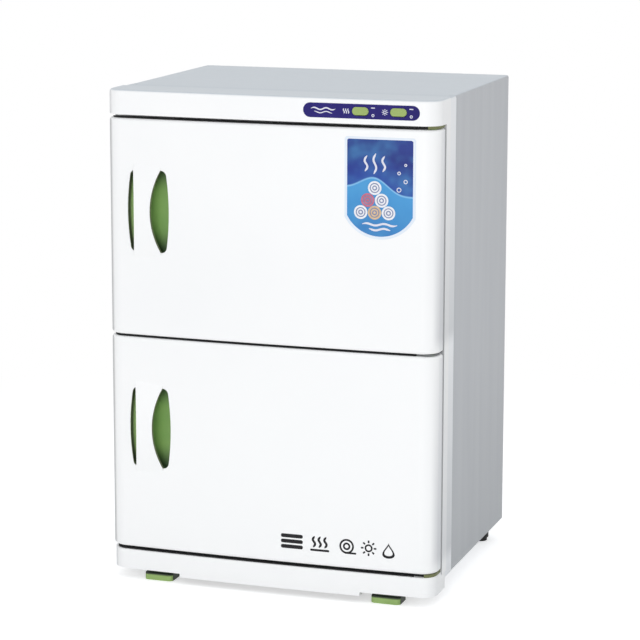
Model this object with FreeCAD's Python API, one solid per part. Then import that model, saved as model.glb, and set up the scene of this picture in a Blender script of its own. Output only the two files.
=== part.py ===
# Two-deck hot towel cabinet: one heated chamber above the other, each behind a door hinged at the right.
# X runs to the right, Y to the back, Z up. The origin is the centre of the footprint, at the feet.
import FreeCAD
import Part
import math
import os

os.makedirs("parts", exist_ok=True)

# Overall form of the moulded front
overall_width = 450.0
front_bow = 5.0
corner_radius = 22.0
edge_radius = 4.0
moulding_wall = 3.0
front_depth = 88.0
case_depth = 276.0

# Heights, stacked from the feet up
plinth_low = 9.0
plinth_step = 5.0
plinth_step_side = 100.0
plinth_top = 40.1
plinth_inset = 1.5
end_gap = 4.8
middle_gap = 3.2
door_height = 285.0
cap_height = 32.1

# Sheet case and the collar that joins it to the front moulding
sheet = 1.0
case_inset = 3.0
case_top_drop = 1.0
case_bottom = 27.0
case_bend = 3.0
collar_depth = 28.0
collar_inset = 1.0
collar_wall = 2.5
rear_lip = 10.0
corner_notch_length = 8.0
corner_notch_width = 1.6
pan_flange = 12.0
vent_length = 46.0
vent_width = 4.0
vent_pitch = 12.0
vent_count = 5
vent_side = 115.0

# Heated chambers
frame_depth = 20.0
rail_width = 49.0
chamber_lift = 35.6
chamber_drop = 27.6
chamber_corner = 10.0
chamber_behind = 18.0
liner_sheet = 1.2
liner_flange = 12.0
ledge_reach = 6.0
ledge_height = 42.0
ledge_edge = 5.0
jacket_side = 16.0
jacket_back = 8.8
pad_side = 26.0
pad_depth = 200.0
pad_thickness = 1.6
thermostat_radius = 9.0
thermostat_height = 12.0
thermostat_ahead = 60.0

# Doors
door_rear_gap = 6.0
panel_thickness = 1.8
panel_inset = 1.5
hinge_edge_clear = 15.0
hinge_flange = 3.0
dish_side = 16.0
dish_border = 34.0
dish_depth = 7.0
dish_slope = 6.0
seal_gap = 0.2
seal_offset = 4.0
seal_width = 8.0
foam_left = 103.0
foam_right = 29.0
foam_border = 6.0

# Grip: a barrel-shaped opening crossed by a raised strap, with a scooped cup behind.
# Its places across are measured from the door's free edge. The strap is waisted, most on the side
# where the fingers reach in.
grip_height = 108.0
grip_near = 31.6
grip_far = 89.5
grip_top_near = 36.6
grip_top_far = 85.2
grip_above_door = 165.0
grip_corner = 8.0
strap_near = 43.0
strap_far = 65.0
strap_end_near = 40.4
strap_end_far = 78.0
strap_ahead = 4.0
strap_thickness = 5.0
strap_root = 7.0
cup_depth = 21.0
cup_wall = 1.8
cup_flange = 3.0
cup_rise = 4.0

# Hinges
hinge_inset = 13.0
hinge_setback = 19.0
pin_radius = 2.5
pin_length = 12.0
pin_clearance = 0.05
bush_wall = 1.65
bush_length = 14.0
boss_wall = 3.8
washer_radius = 7.0
washer_thickness = 0.6
running_clearance = 0.3
plate_inset = 2.5
plate_length = 26.0
plate_ear = 12.5
plate_nose = 8.5
tongue_inset = 5.0
tongue_depth = 16.0

# Door magnets and the steel plates they meet
magnet_width = 12.0
magnet_height = 34.0
magnet_edge = 26.0
striker_thickness = 1.0
striker_border = 2.0

# Control strip, placed across from the right side
label_side = 100.5
label_rise = 16.1
label_length = 152.0
label_height = 18.6
label_sunk = 1.0
label_proud = 0.2
switch_left_side = 101.4
switch_right_side = 52.0
switch_length = 21.0
switch_height = 10.0
switch_gap = 0.6
switch_pivot_depth = 5.2
switch_proud = 1.4
switch_dip = 0.8
switch_body_depth = 5.0
switch_tilt = 4.5
stub_radius = 1.0
stub_length = 1.8
housing_side = 2.4
housing_height = 17.0
housing_depth = 18.0
housing_pocket_depth = 8.0

# Feet
front_foot_side = 67.0
front_foot_width = 40.0
front_foot_depth = 32.0
front_foot_slab = 9.0
front_foot_setback = 7.0
front_foot_round = 6.0
front_neck_width = 28.0
front_neck_depth = 20.0
rear_foot_side = 28.0
rear_foot_setback = 26.0
rear_foot_radius = 12.0
rear_foot_step = 2.0
rear_foot_tread = 5.0

# Racks and drip trays
slide_clearance = 0.3
rack_short = 24.0
rack_bar = 4.0
rack_cross_bar = 2.8
rack_cross_count = 10
rack_side_clear = 2.0
rack_corner = 12.0
tray_side_clear = 5.0
tray_short = 28.0
tray_height = 13.0
tray_wall = 1.2
tray_rim = 6.0
tray_corner = 12.0

# Ultraviolet lamp at the top rear of each chamber
lamp_radius = 8.0
lamp_length = 212.0
lamp_drop = 18.0
lamp_ahead = 18.0
lamp_cap_length = 6.0
holder_width = 10.0
holder_size = 26.0
guard_radius = 40.0
guard_sheet = 1.0
guard_folds = 3
guard_side = 6.0
guard_slot_count = 4
guard_slot_width = 36.0

# Parts on the base pan and the mains inlet
ballast_length = 90.0
ballast_depth = 42.0
ballast_height = 20.0
terminal_length = 44.0
terminal_depth = 22.0
terminal_height = 14.0
inlet_side = 75.0
inlet_rise = 14.0
inlet_width = 48.0
inlet_height = 25.0
inlet_flange = 3.0
inlet_body_width = 28.0
inlet_body_height = 20.0
inlet_body_depth = 24.0
inlet_socket_width = 22.0
inlet_socket_height = 15.0
inlet_socket_depth = 16.0
inlet_pin_width = 2.0
inlet_pin_height = 4.0
inlet_pin_pitch = 7.0
inlet_pin_rise = 3.0
inlet_pin_length = 11.0

# Places along X, then along Y from the strap's front face to the inlet's rear face
half_width = overall_width / 2
chamber_half = half_width - rail_width
plinth_step_half = half_width - plinth_step_side
grip_left = grip_near - half_width
grip_right = grip_far - half_width
grip_top_left = grip_top_near - half_width
grip_top_right = grip_top_far - half_width
strap_left = strap_near - half_width
strap_right = strap_far - half_width
strap_end_left = strap_end_near - half_width
strap_end_right = strap_end_far - half_width
label_centre_x = half_width - label_side
inlet_x = half_width - inlet_side
front_arc = (half_width ** 2 + front_bow ** 2) / (2 * front_bow)
strap_centre_x = (strap_left + strap_right) / 2


def front_fall(x):
    # How far the bowed front has dropped back at a place across it
    return front_arc - math.sqrt(front_arc ** 2 - x ** 2)


strap_fall = front_fall(strap_centre_x)
strap_rise = strap_ahead + strap_fall
inlet_behind = inlet_flange - sheet
whole_depth = strap_ahead + front_depth + case_depth + inlet_behind
y_front = strap_ahead - whole_depth / 2
y_seam = y_front + front_depth
y_back = y_seam + case_depth
y_collar = y_seam - collar_depth
y_face = y_collar - frame_depth
y_shell_rear = y_face - door_rear_gap
y_panel_rear = y_shell_rear + panel_thickness
y_panel_back = y_back - sheet
y_liner_back = y_back - chamber_behind
chamber_depth = y_liner_back - y_collar
rack_depth = chamber_depth - rack_short
tray_depth = chamber_depth - tray_short

# Places along Z
z_lower_door = plinth_top + end_gap
z_upper_door = z_lower_door + door_height + middle_gap
z_cap = z_upper_door + door_height + end_gap
z_top = z_cap + cap_height
z_end = plinth_low + plinth_step
z_case_top = z_top - case_top_drop
case_half = half_width - case_inset
chamber_height = door_height - chamber_lift - chamber_drop

# Hinge axis, shared by both doors
hinge_x = half_width - hinge_inset
hinge_y = y_face - hinge_setback
bush_bore = pin_radius + pin_clearance
bush_radius = bush_bore + bush_wall


def vec(x, y, z):
    return FreeCAD.Vector(x, y, z)


def block(x0, x1, y0, y1, z0, z1):
    return Part.makeBox(x1 - x0, y1 - y0, z1 - z0, vec(x0, y0, z0))


def save(name, shape):
    shape.exportStep("parts/" + name + ".step")


def wire_of(edges):
    return Part.Wire(Part.__sortEdges__(edges))


def arc(a, b, c):
    return Part.Arc(a, b, c).toShape()


def plan_wire(inset, y_rear):
    # Bowed front, two corner arcs and straight sides, all moved inward by the inset
    arc_centre = y_front + front_arc
    corner_x = half_width - corner_radius
    reach = front_arc - corner_radius
    corner_y = arc_centre - math.sqrt(reach ** 2 - corner_x ** 2)
    toward_x = corner_x / reach
    toward_y = (corner_y - arc_centre) / reach
    touch_x = toward_x * (front_arc - inset)
    touch_y = arc_centre + toward_y * (front_arc - inset)
    length = math.hypot(toward_x + 1, toward_y)
    small = corner_radius - inset
    mid_x = corner_x + small * (toward_x + 1) / length
    mid_y = corner_y + small * toward_y / length
    side = half_width - inset
    right_touch = vec(touch_x, touch_y, 0)
    left_touch = vec(-touch_x, touch_y, 0)
    edges = [
        Part.makeLine(vec(side, y_rear, 0), vec(side, corner_y, 0)),
        arc(vec(side, corner_y, 0), vec(mid_x, mid_y, 0), right_touch),
        arc(right_touch, vec(0, y_front + inset, 0), left_touch),
        arc(left_touch, vec(-mid_x, mid_y, 0), vec(-side, corner_y, 0)),
        Part.makeLine(vec(-side, corner_y, 0), vec(-side, y_rear, 0)),
        Part.makeLine(vec(-side, y_rear, 0), vec(side, y_rear, 0)),
    ]
    return wire_of(edges)


def moulding(inset, y_rear, z0, z1):
    solid = Part.Face(plan_wire(inset, y_rear)).extrude(vec(0, 0, z1 - z0))
    solid.translate(vec(0, 0, z0))
    return solid


def rim_edges(solid, height, y_rear):
    # The edges of one flat end, apart from its straight rear edge
    picked = []
    for edge in solid.Edges:
        bounds = edge.BoundBox
        level = abs(bounds.ZMin - height) < 0.01 and abs(bounds.ZMax - height) < 0.01
        if level and bounds.YMin < y_rear - 0.01:
            picked.append(edge)
    return picked


def rounded_face(x0, x1, z0, z1, radius):
    # Upright rectangle with round corners, lying in the plane Y = 0
    k = radius * (1 - math.sqrt(0.5))
    corners = [(x0, z0, 1, 1), (x1, z0, -1, 1), (x1, z1, -1, -1), (x0, z1, 1, -1)]
    edges = []
    ends = []
    for x, z, sx, sz in corners:
        along_x = vec(x + sx * radius, 0, z)
        along_z = vec(x, 0, z + sz * radius)
        edges.append(arc(along_x, vec(x + sx * k, 0, z + sz * k), along_z))
        ends.append((along_x, along_z))
    edges.append(Part.makeLine(ends[0][0], ends[1][0]))
    edges.append(Part.makeLine(ends[1][1], ends[2][1]))
    edges.append(Part.makeLine(ends[2][0], ends[3][0]))
    edges.append(Part.makeLine(ends[3][1], ends[0][1]))
    return Part.Face(wire_of(edges))


def rounded_prism(x0, x1, y0, y1, z0, z1, radius):
    solid = rounded_face(x0, x1, z0, z1, radius).extrude(vec(0, y1 - y0, 0))
    solid.translate(vec(0, y0, 0))
    return solid


def rounded_plate(x0, x1, y0, y1, z0, z1, radius):
    # Flat plate with round corners seen from above
    solid = rounded_face(x0, x1, y0, y1, radius).extrude(vec(0, z0 - z1, 0))
    solid.rotate(vec(0, 0, 0), vec(1, 0, 0), -90)
    solid.translate(vec(0, 0, z0))
    return solid


def stadium(centre_x, centre_z, length, height, y0, y1):
    r = height / 2
    run = length / 2 - r
    right = centre_x + run
    left = centre_x - run
    low = centre_z - r
    high = centre_z + r
    edges = [
        Part.makeLine(vec(left, y0, low), vec(right, y0, low)),
        arc(vec(right, y0, low), vec(right + r, y0, centre_z), vec(right, y0, high)),
        Part.makeLine(vec(right, y0, high), vec(left, y0, high)),
        arc(vec(left, y0, high), vec(left - r, y0, centre_z), vec(left, y0, low)),
    ]
    return Part.Face(wire_of(edges)).extrude(vec(0, y1 - y0, 0))


def rod(radius, start, direction, length):
    return Part.makeCylinder(radius, length, start, direction)


# Front moulding: cap, side rails, middle rail and plinth in one hollow piece, open at the rear
def chamber_floor(z_door):
    return z_door + chamber_lift


def chamber_prism(z_door, grow, y0, y1):
    floor = chamber_floor(z_door)
    side = chamber_half + grow
    return rounded_prism(-side, side, y0, y1, floor - grow, floor + chamber_height + grow, chamber_corner + grow)


past = 1.0
door_bases = [z_lower_door, z_upper_door]
cap = moulding(0, y_collar, z_cap, z_top)
cap = cap.makeFillet(edge_radius, rim_edges(cap, z_top, y_collar))
plinth = moulding(plinth_inset, y_collar, plinth_low, plinth_top)
for side in (-1, 1):
    inner = side * plinth_step_half
    outer = side * (half_width + past)
    plinth = plinth.cut(block(min(inner, outer), max(inner, outer), y_front - past, y_collar + past,
                              plinth_low - past, z_end))
rails = block(-half_width, half_width, y_face, y_collar, plinth_top - moulding_wall, z_cap + moulding_wall)
front_frame = cap.fuse([plinth, rails])

cap_hollow = moulding(moulding_wall, y_collar + past, z_cap + moulding_wall, z_top - moulding_wall)
plinth_hollow = moulding(plinth_inset + moulding_wall, y_collar + past, z_end + moulding_wall,
                         plinth_top - moulding_wall)
mouth_half = plinth_step_half - moulding_wall
plinth_mouth = moulding(plinth_inset + moulding_wall, y_collar - moulding_wall, plinth_low - past,
                        z_end + moulding_wall + past)
plinth_mouth = plinth_mouth.common(block(-mouth_half, mouth_half, y_front, y_collar, 0, plinth_top))
rail_side = half_width - plinth_inset - moulding_wall
rail_hollow = block(-rail_side, rail_side, y_face + moulding_wall, y_collar + past,
                    z_end + moulding_wall, z_top - moulding_wall)
for z_door in door_bases:
    rail_hollow = rail_hollow.cut(chamber_prism(z_door, moulding_wall, y_face, y_collar))
    front_frame = front_frame.cut(chamber_prism(z_door, 0, y_face - past, y_collar + past))
front_frame = front_frame.cut([cap_hollow, plinth_hollow, plinth_mouth, rail_hollow])

# Label recess, switch apertures, striker recesses and the slot for the middle hinge plate
label_z = z_cap + label_rise
switch_xs = [("left", half_width - switch_left_side), ("right", half_width - switch_right_side)]
aperture_length = switch_length + 2 * switch_gap
aperture_height = switch_height + 2 * switch_gap
front_room = strap_ahead + past
label_cut = stadium(label_centre_x, label_z, label_length, label_height,
                    y_front - front_room, y_front + corner_radius)
label_zone = label_cut.cut(moulding(label_sunk, y_collar, z_cap, z_top))
front_frame = front_frame.cut(label_zone)
apertures = []
for name, x in switch_xs:
    apertures.append(stadium(x, label_z, aperture_length, aperture_height,
                             y_front - front_room, y_front + corner_radius))
front_frame = front_frame.cut(apertures)

magnet_x = -half_width + magnet_edge
strikers = []
for z_door in door_bases:
    middle = z_door + door_height / 2
    reach_x = magnet_width / 2 + striker_border
    reach_z = magnet_height / 2 + striker_border
    strikers.append(block(magnet_x - reach_x, magnet_x + reach_x, y_face, y_face + striker_thickness,
                          middle - reach_z, middle + reach_z))
front_frame = front_frame.cut(strikers)
save("lower_striker_plate", strikers[0])
save("upper_striker_plate", strikers[1])

# Hinge plates in the three gaps, each with its pins riveted in. Only an ear at the corner comes
# forward to the front; the rest of the plate stays back in the gap.
plate_right = half_width - plate_inset
plate_left = plate_right - plate_length
end_plate = end_gap - washer_thickness - running_clearance
middle_plate = middle_gap - 2 * (washer_thickness + running_clearance)


def hinge_plate(z0, z1):
    outline = moulding(plate_inset, y_face, z0, z1)
    reach = block(plate_left, plate_right + past, hinge_y - plate_nose, y_face, z0, z1)
    ear = block(plate_right - plate_ear, plate_right + past, y_front, y_face, z0, z1)
    return outline.common(reach.fuse(ear))


def pin_down(z_plate, z_door_top):
    return rod(pin_radius, vec(hinge_x, hinge_y, z_door_top - pin_length), vec(0, 0, 1),
               z_plate - z_door_top + pin_length)


def pin_up(z_plate, z_door_bottom):
    return rod(pin_radius, vec(hinge_x, hinge_y, z_plate), vec(0, 0, 1), z_door_bottom + pin_length - z_plate)


upper_plate = hinge_plate(z_cap - end_plate, z_cap)
upper_plate = upper_plate.fuse(pin_down(z_cap - end_plate, z_upper_door + door_height))
save("upper_hinge_plate", upper_plate)
lower_plate = hinge_plate(plinth_top, plinth_top + end_plate)
lower_plate = lower_plate.fuse(pin_up(plinth_top + end_plate, z_lower_door))
save("lower_hinge_plate", lower_plate)
z_mid = z_upper_door - washer_thickness - running_clearance
mid_plate = hinge_plate(z_mid - middle_plate, z_mid)
tongue = block(plate_left + tongue_inset, plate_right - tongue_inset, y_face, y_face + tongue_depth,
               z_mid - middle_plate, z_mid)
front_frame = front_frame.cut(tongue)
mid_plate = mid_plate.fuse([tongue, pin_up(z_mid, z_upper_door),
                            pin_down(z_mid - middle_plate, z_lower_door + door_height)])
save("middle_hinge_plate", mid_plate)
save("front_frame", front_frame)

# Collar between the front moulding and the sheet case
collar_half = half_width - collar_inset
collar_low = case_bottom - collar_inset
collar = rounded_prism(-collar_half, collar_half, y_collar, y_seam, collar_low, z_case_top, edge_radius)
collar_hole = rounded_prism(-collar_half + collar_wall, collar_half - collar_wall, y_collar - past,
                            y_seam + past, collar_low + collar_wall, z_case_top - collar_wall,
                            edge_radius - collar_wall)
save("body_collar", collar.cut(collar_hole))

# Sheet case: a folded wrap over top and sides with narrow lips at the rear
def wrap_body(half, top, radius, y0, y1):
    body = block(-half, half, y0, y1, case_bottom, top)
    picked = []
    for edge in body.Edges:
        bounds = edge.BoundBox
        if bounds.ZMin > top - 0.01 and bounds.YMax - bounds.YMin > 0.5 * (y1 - y0):
            picked.append(edge)
    return body.makeFillet(radius, picked)


inner_half = case_half - sheet
inner_top = z_case_top - sheet
case_wrap = wrap_body(case_half, z_case_top, case_bend, y_seam, y_back)
case_wrap = case_wrap.cut(wrap_body(inner_half, inner_top, case_bend - sheet, y_seam - past, y_panel_back))
lip_half = case_half - rear_lip
case_wrap = case_wrap.cut(block(-lip_half, lip_half, y_panel_back - past, y_back + past,
                                case_bottom - past, z_case_top - rear_lip))
for side in (-1, 1):
    far = side * (case_half + past)
    near = side * (case_half - corner_notch_length)
    case_wrap = case_wrap.cut(block(min(near, far), max(near, far), y_seam - past,
                                    y_seam + corner_notch_width, z_case_top - case_bend, z_case_top + past))
save("case_wrap", case_wrap)

# Base pan with upturned flanges, and the back panel with two banks of vents and the inlet cut-out
pan = block(-inner_half, inner_half, y_seam, y_panel_back, case_bottom, case_bottom + sheet)
for side in (-1, 1):
    outer = side * inner_half
    inner = side * (inner_half - sheet)
    pan = pan.fuse(block(min(outer, inner), max(outer, inner), y_seam, y_panel_back - sheet,
                         case_bottom, case_bottom + pan_flange))
save("base_pan", pan)

inlet_z = case_bottom + sheet + inlet_rise
back = block(-inner_half, inner_half, y_panel_back - sheet, y_panel_back, case_bottom + sheet,
             inner_top)
back_corners = []
for edge in back.Edges:
    bounds = edge.BoundBox
    if bounds.ZMin > inner_top - 0.01 and bounds.YMax - bounds.YMin > 0.5 * sheet:
        back_corners.append(edge)
back = back.makeFillet(case_bend - sheet, back_corners)
vents = []
vent_middle = (vent_count - 1) / 2
for z_door in door_bases:
    for side in (-1, 1):
        for step in range(vent_count):
            height = z_door + door_height / 2 + (step - vent_middle) * vent_pitch
            middle = side * (half_width - vent_side)
            vents.append(block(middle - vent_length / 2, middle + vent_length / 2,
                               y_panel_back - sheet - past, y_panel_back + past,
                               height - vent_width / 2, height + vent_width / 2))
inlet_hole = block(inlet_x - inlet_body_width / 2, inlet_x + inlet_body_width / 2,
                   y_panel_back - sheet - past, y_panel_back + past,
                   inlet_z - inlet_body_height / 2, inlet_z + inlet_body_height / 2)
back = back.cut(vents + [inlet_hole])
save("back_panel", back)

# Mains inlet: flange outside, body inside, three flat contacts in the socket
inlet = rounded_prism(inlet_x - inlet_width / 2, inlet_x + inlet_width / 2, y_panel_back,
                      y_panel_back + inlet_flange, inlet_z - inlet_height / 2, inlet_z + inlet_height / 2,
                      inlet_flange)
inlet = inlet.fuse(block(inlet_x - inlet_body_width / 2, inlet_x + inlet_body_width / 2,
                         y_panel_back + inlet_flange - inlet_body_depth, y_panel_back,
                         inlet_z - inlet_body_height / 2, inlet_z + inlet_body_height / 2))
socket_back = y_panel_back + inlet_flange - inlet_socket_depth
inlet = inlet.cut(block(inlet_x - inlet_socket_width / 2, inlet_x + inlet_socket_width / 2,
                        socket_back, y_panel_back + inlet_flange + past,
                        inlet_z - inlet_socket_height / 2, inlet_z + inlet_socket_height / 2))
for place in (-1, 0, 1):
    x = inlet_x + place * inlet_pin_pitch
    z = inlet_z + (inlet_pin_rise if place == 0 else 0) - inlet_pin_rise / 2
    inlet = inlet.fuse(block(x - inlet_pin_width / 2, x + inlet_pin_width / 2, socket_back,
                             socket_back + inlet_pin_length, z - inlet_pin_height / 2,
                             z + inlet_pin_height / 2))
save("mains_inlet", inlet)

# Lamp ballast and terminal block, both standing on the base pan
pan_top = case_bottom + sheet
ballast_y = y_back - 2 * ballast_depth
save("lamp_ballast", block(-ballast_length / 2, ballast_length / 2, ballast_y, ballast_y + ballast_depth,
                           pan_top, pan_top + ballast_height))
terminal_left = inlet_x - inlet_body_width / 2 - 2 * terminal_depth - terminal_length / 2
terminal = block(terminal_left, terminal_left + terminal_length, ballast_y, ballast_y + terminal_depth,
                 pan_top, pan_top + terminal_height)
save("terminal_block", terminal)


# One heated chamber with everything fixed in it
def ledge_shapes(floor, side):
    # The pressed ledge seen from the front: its inner bump and the hollow behind it
    top = floor + ledge_height
    wall = chamber_half
    tip = wall - ledge_reach
    slope_shift = liner_sheet * math.sqrt(2)
    bump = [(wall + past, top), (tip, top), (tip, top - ledge_edge),
            (wall + past, top - ledge_edge - ledge_reach - past)]
    tip_out = tip + liner_sheet
    edge_out = top - ledge_edge + slope_shift - liner_sheet
    wall_out = wall + liner_sheet + past
    hollow = [(wall_out, top - liner_sheet), (tip_out, top - liner_sheet), (tip_out, edge_out),
              (wall_out, edge_out - (wall_out - tip_out))]
    shapes = []
    for points in (bump, hollow):
        corners = [vec(side * x, 0, z) for x, z in points]
        corners.append(corners[0])
        shapes.append(Part.Face(Part.makePolygon(corners)))
    return shapes


def extrude_y(face, y0, y1):
    solid = face.extrude(vec(0, y1 - y0, 0))
    solid.translate(vec(0, y0, 0))
    return solid


def ledged_prism(z_door, grow, which, y0, y1):
    solid = chamber_prism(z_door, grow, y0, y1)
    for side in (-1, 1):
        face = ledge_shapes(chamber_floor(z_door), side)[which]
        solid = solid.cut(extrude_y(face, y0, y1))
    return solid


def build_chamber(level, z_door):
    floor = chamber_floor(z_door)
    ceiling = floor + chamber_height
    liner_outer = ledged_prism(z_door, liner_sheet, 1, y_collar, y_liner_back + liner_sheet)
    liner_inner = ledged_prism(z_door, 0, 0, y_collar - past, y_liner_back)
    flange = chamber_prism(z_door, liner_sheet + liner_flange, y_collar, y_collar + liner_sheet)
    liner = liner_outer.fuse(flange).cut(liner_inner)
    save(level + "_liner", liner)

    # Heating pad glued under the floor, with a thermostat below it
    under = floor - liner_sheet
    pad_y = y_collar + chamber_depth / 2
    pad_half = chamber_half - pad_side
    pad = block(-pad_half, pad_half, pad_y - pad_depth / 2, pad_y + pad_depth / 2,
                under - pad_thickness, under)
    save(level + "_heater_pad", pad)
    thermostat = rod(thermostat_radius, vec(0, pad_y - thermostat_ahead, under - pad_thickness),
                     vec(0, 0, -1), thermostat_height)
    save(level + "_thermostat", thermostat)

    # Insulating jacket round the liner, with room for the pad and the thermostat
    side = chamber_half + liner_sheet + jacket_side
    jacket_low = under - jacket_side
    jacket = block(-side, side, y_collar + liner_sheet, y_liner_back + liner_sheet + jacket_back,
                   jacket_low, ceiling + liner_sheet + jacket_side)
    jacket = jacket.cut([liner_outer, pad, thermostat])
    save(level + "_insulation", jacket)

    # Lamp across the top rear, held by a block at each end behind a slotted guard folded from sheet
    lamp_y = y_liner_back - lamp_ahead
    lamp_z = ceiling - lamp_drop
    lamp = rod(lamp_radius, vec(-lamp_length / 2, lamp_y, lamp_z), vec(1, 0, 0), lamp_length)
    save(level + "_uv_lamp", lamp)
    holders = []
    for end in (-1, 1):
        near = end * (lamp_length / 2 - lamp_cap_length)
        far = end * (lamp_length / 2 - lamp_cap_length + holder_width)
        holder = block(min(near, far), max(near, far), y_liner_back - holder_size, y_liner_back,
                       ceiling - holder_size, ceiling)
        holders.append(holder.cut(lamp))
    save(level + "_lamp_holders", Part.Compound(holders))
    guard_half = lamp_length / 2 + holder_width + guard_side
    outside = []
    inside = []
    for fold in range(guard_folds + 1):
        turn = math.pi / 2 * fold / guard_folds
        thin = guard_radius - guard_sheet / math.cos(math.pi / 4 / guard_folds)
        for points, radius in ((outside, guard_radius), (inside, thin)):
            points.append(vec(-guard_half, y_liner_back - radius * math.cos(turn), ceiling - radius * math.sin(turn)))
    outline = outside + inside[::-1] + outside[:1]
    guard = Part.Face(Part.makePolygon(outline)).extrude(vec(2 * guard_half, 0, 0))
    slot_pitch = (lamp_length - guard_slot_width) / (guard_slot_count - 1)
    slot_tilt = guard_radius / 3
    for step in range(guard_slot_count):
        middle = -(lamp_length - guard_slot_width) / 2 + step * slot_pitch
        guard = guard.cut(block(middle - guard_slot_width / 2, middle + guard_slot_width / 2,
                                y_liner_back - guard_radius, y_liner_back - slot_tilt,
                                ceiling - guard_radius, ceiling - slot_tilt))
    save(level + "_lamp_guard", guard)


build_chamber("lower", z_lower_door)
build_chamber("upper", z_upper_door)


# Drip tray on the chamber floor and rack on the ledges
def build_tray(level, z_door):
    floor = chamber_floor(z_door) + slide_clearance
    half = chamber_half - tray_side_clear
    rear = y_liner_back - slide_clearance
    ahead = rear - tray_depth
    tray = rounded_plate(-half + tray_rim, half - tray_rim, ahead + tray_rim, rear - tray_rim,
                         floor, floor + tray_height, tray_corner)
    rim = rounded_plate(-half, half, ahead, rear, floor + tray_height - tray_wall, floor + tray_height,
                        tray_corner + tray_rim)
    inner = tray_rim + tray_wall
    hollow = rounded_plate(-half + inner, half - inner, ahead + inner, rear - inner,
                           floor + tray_wall, floor + tray_height + past, tray_corner - tray_wall)
    save(level + "_drip_tray", tray.fuse(rim).cut(hollow))


def build_rack(level, z_door):
    # A flat bar bent into a frame, with square cross bars welded inside it
    half = chamber_half - rack_side_clear
    rear = y_liner_back - slide_clearance
    ahead = rear - rack_depth
    base = chamber_floor(z_door) + ledge_height + slide_clearance
    frame = rounded_plate(-half, half, ahead, rear, base, base + rack_bar, rack_corner)
    frame = frame.cut(rounded_plate(-half + rack_bar, half - rack_bar, ahead + rack_bar, rear - rack_bar,
                                    base - past, base + rack_bar + past, rack_corner - rack_bar))
    pitch = 2 * half / (rack_cross_count + 1)
    weld = rack_bar / 2
    lift = (rack_bar - rack_cross_bar) / 2
    bars = []
    for step in range(rack_cross_count):
        x = -half + (step + 1) * pitch
        bars.append(block(x - rack_cross_bar / 2, x + rack_cross_bar / 2, ahead + weld, rear - weld,
                          base + lift, base + lift + rack_cross_bar))
    save(level + "_rack", frame.fuse(bars))


for level, z_door in (("lower", z_lower_door), ("upper", z_upper_door)):
    build_tray(level, z_door)
    build_rack(level, z_door)


# Grip opening seen from the front: bowed sides, flat top and bottom, well rounded corners
def barrel_wire(z_centre, grow, y):
    low = z_centre - grip_height / 2 - grow
    high = z_centre + grip_height / 2 + grow
    left_top = grip_top_left - grow
    right_top = grip_top_right + grow
    edges = [
        arc(vec(left_top, y, low), vec(grip_left - grow, y, z_centre), vec(left_top, y, high)),
        Part.makeLine(vec(left_top, y, high), vec(right_top, y, high)),
        arc(vec(right_top, y, high), vec(grip_right + grow, y, z_centre), vec(right_top, y, low)),
        Part.makeLine(vec(right_top, y, low), vec(left_top, y, low)),
    ]
    return wire_of(edges)


def barrel(z_centre, grow, y0, y1, corner):
    solid = Part.Face(barrel_wire(z_centre, grow, y0)).extrude(vec(0, y1 - y0, 0))
    upright = []
    for edge in solid.Edges:
        bounds = edge.BoundBox
        if bounds.YMax - bounds.YMin > 0.5 * (y1 - y0):
            upright.append(edge)
    return solid.makeFillet(corner, upright)


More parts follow.
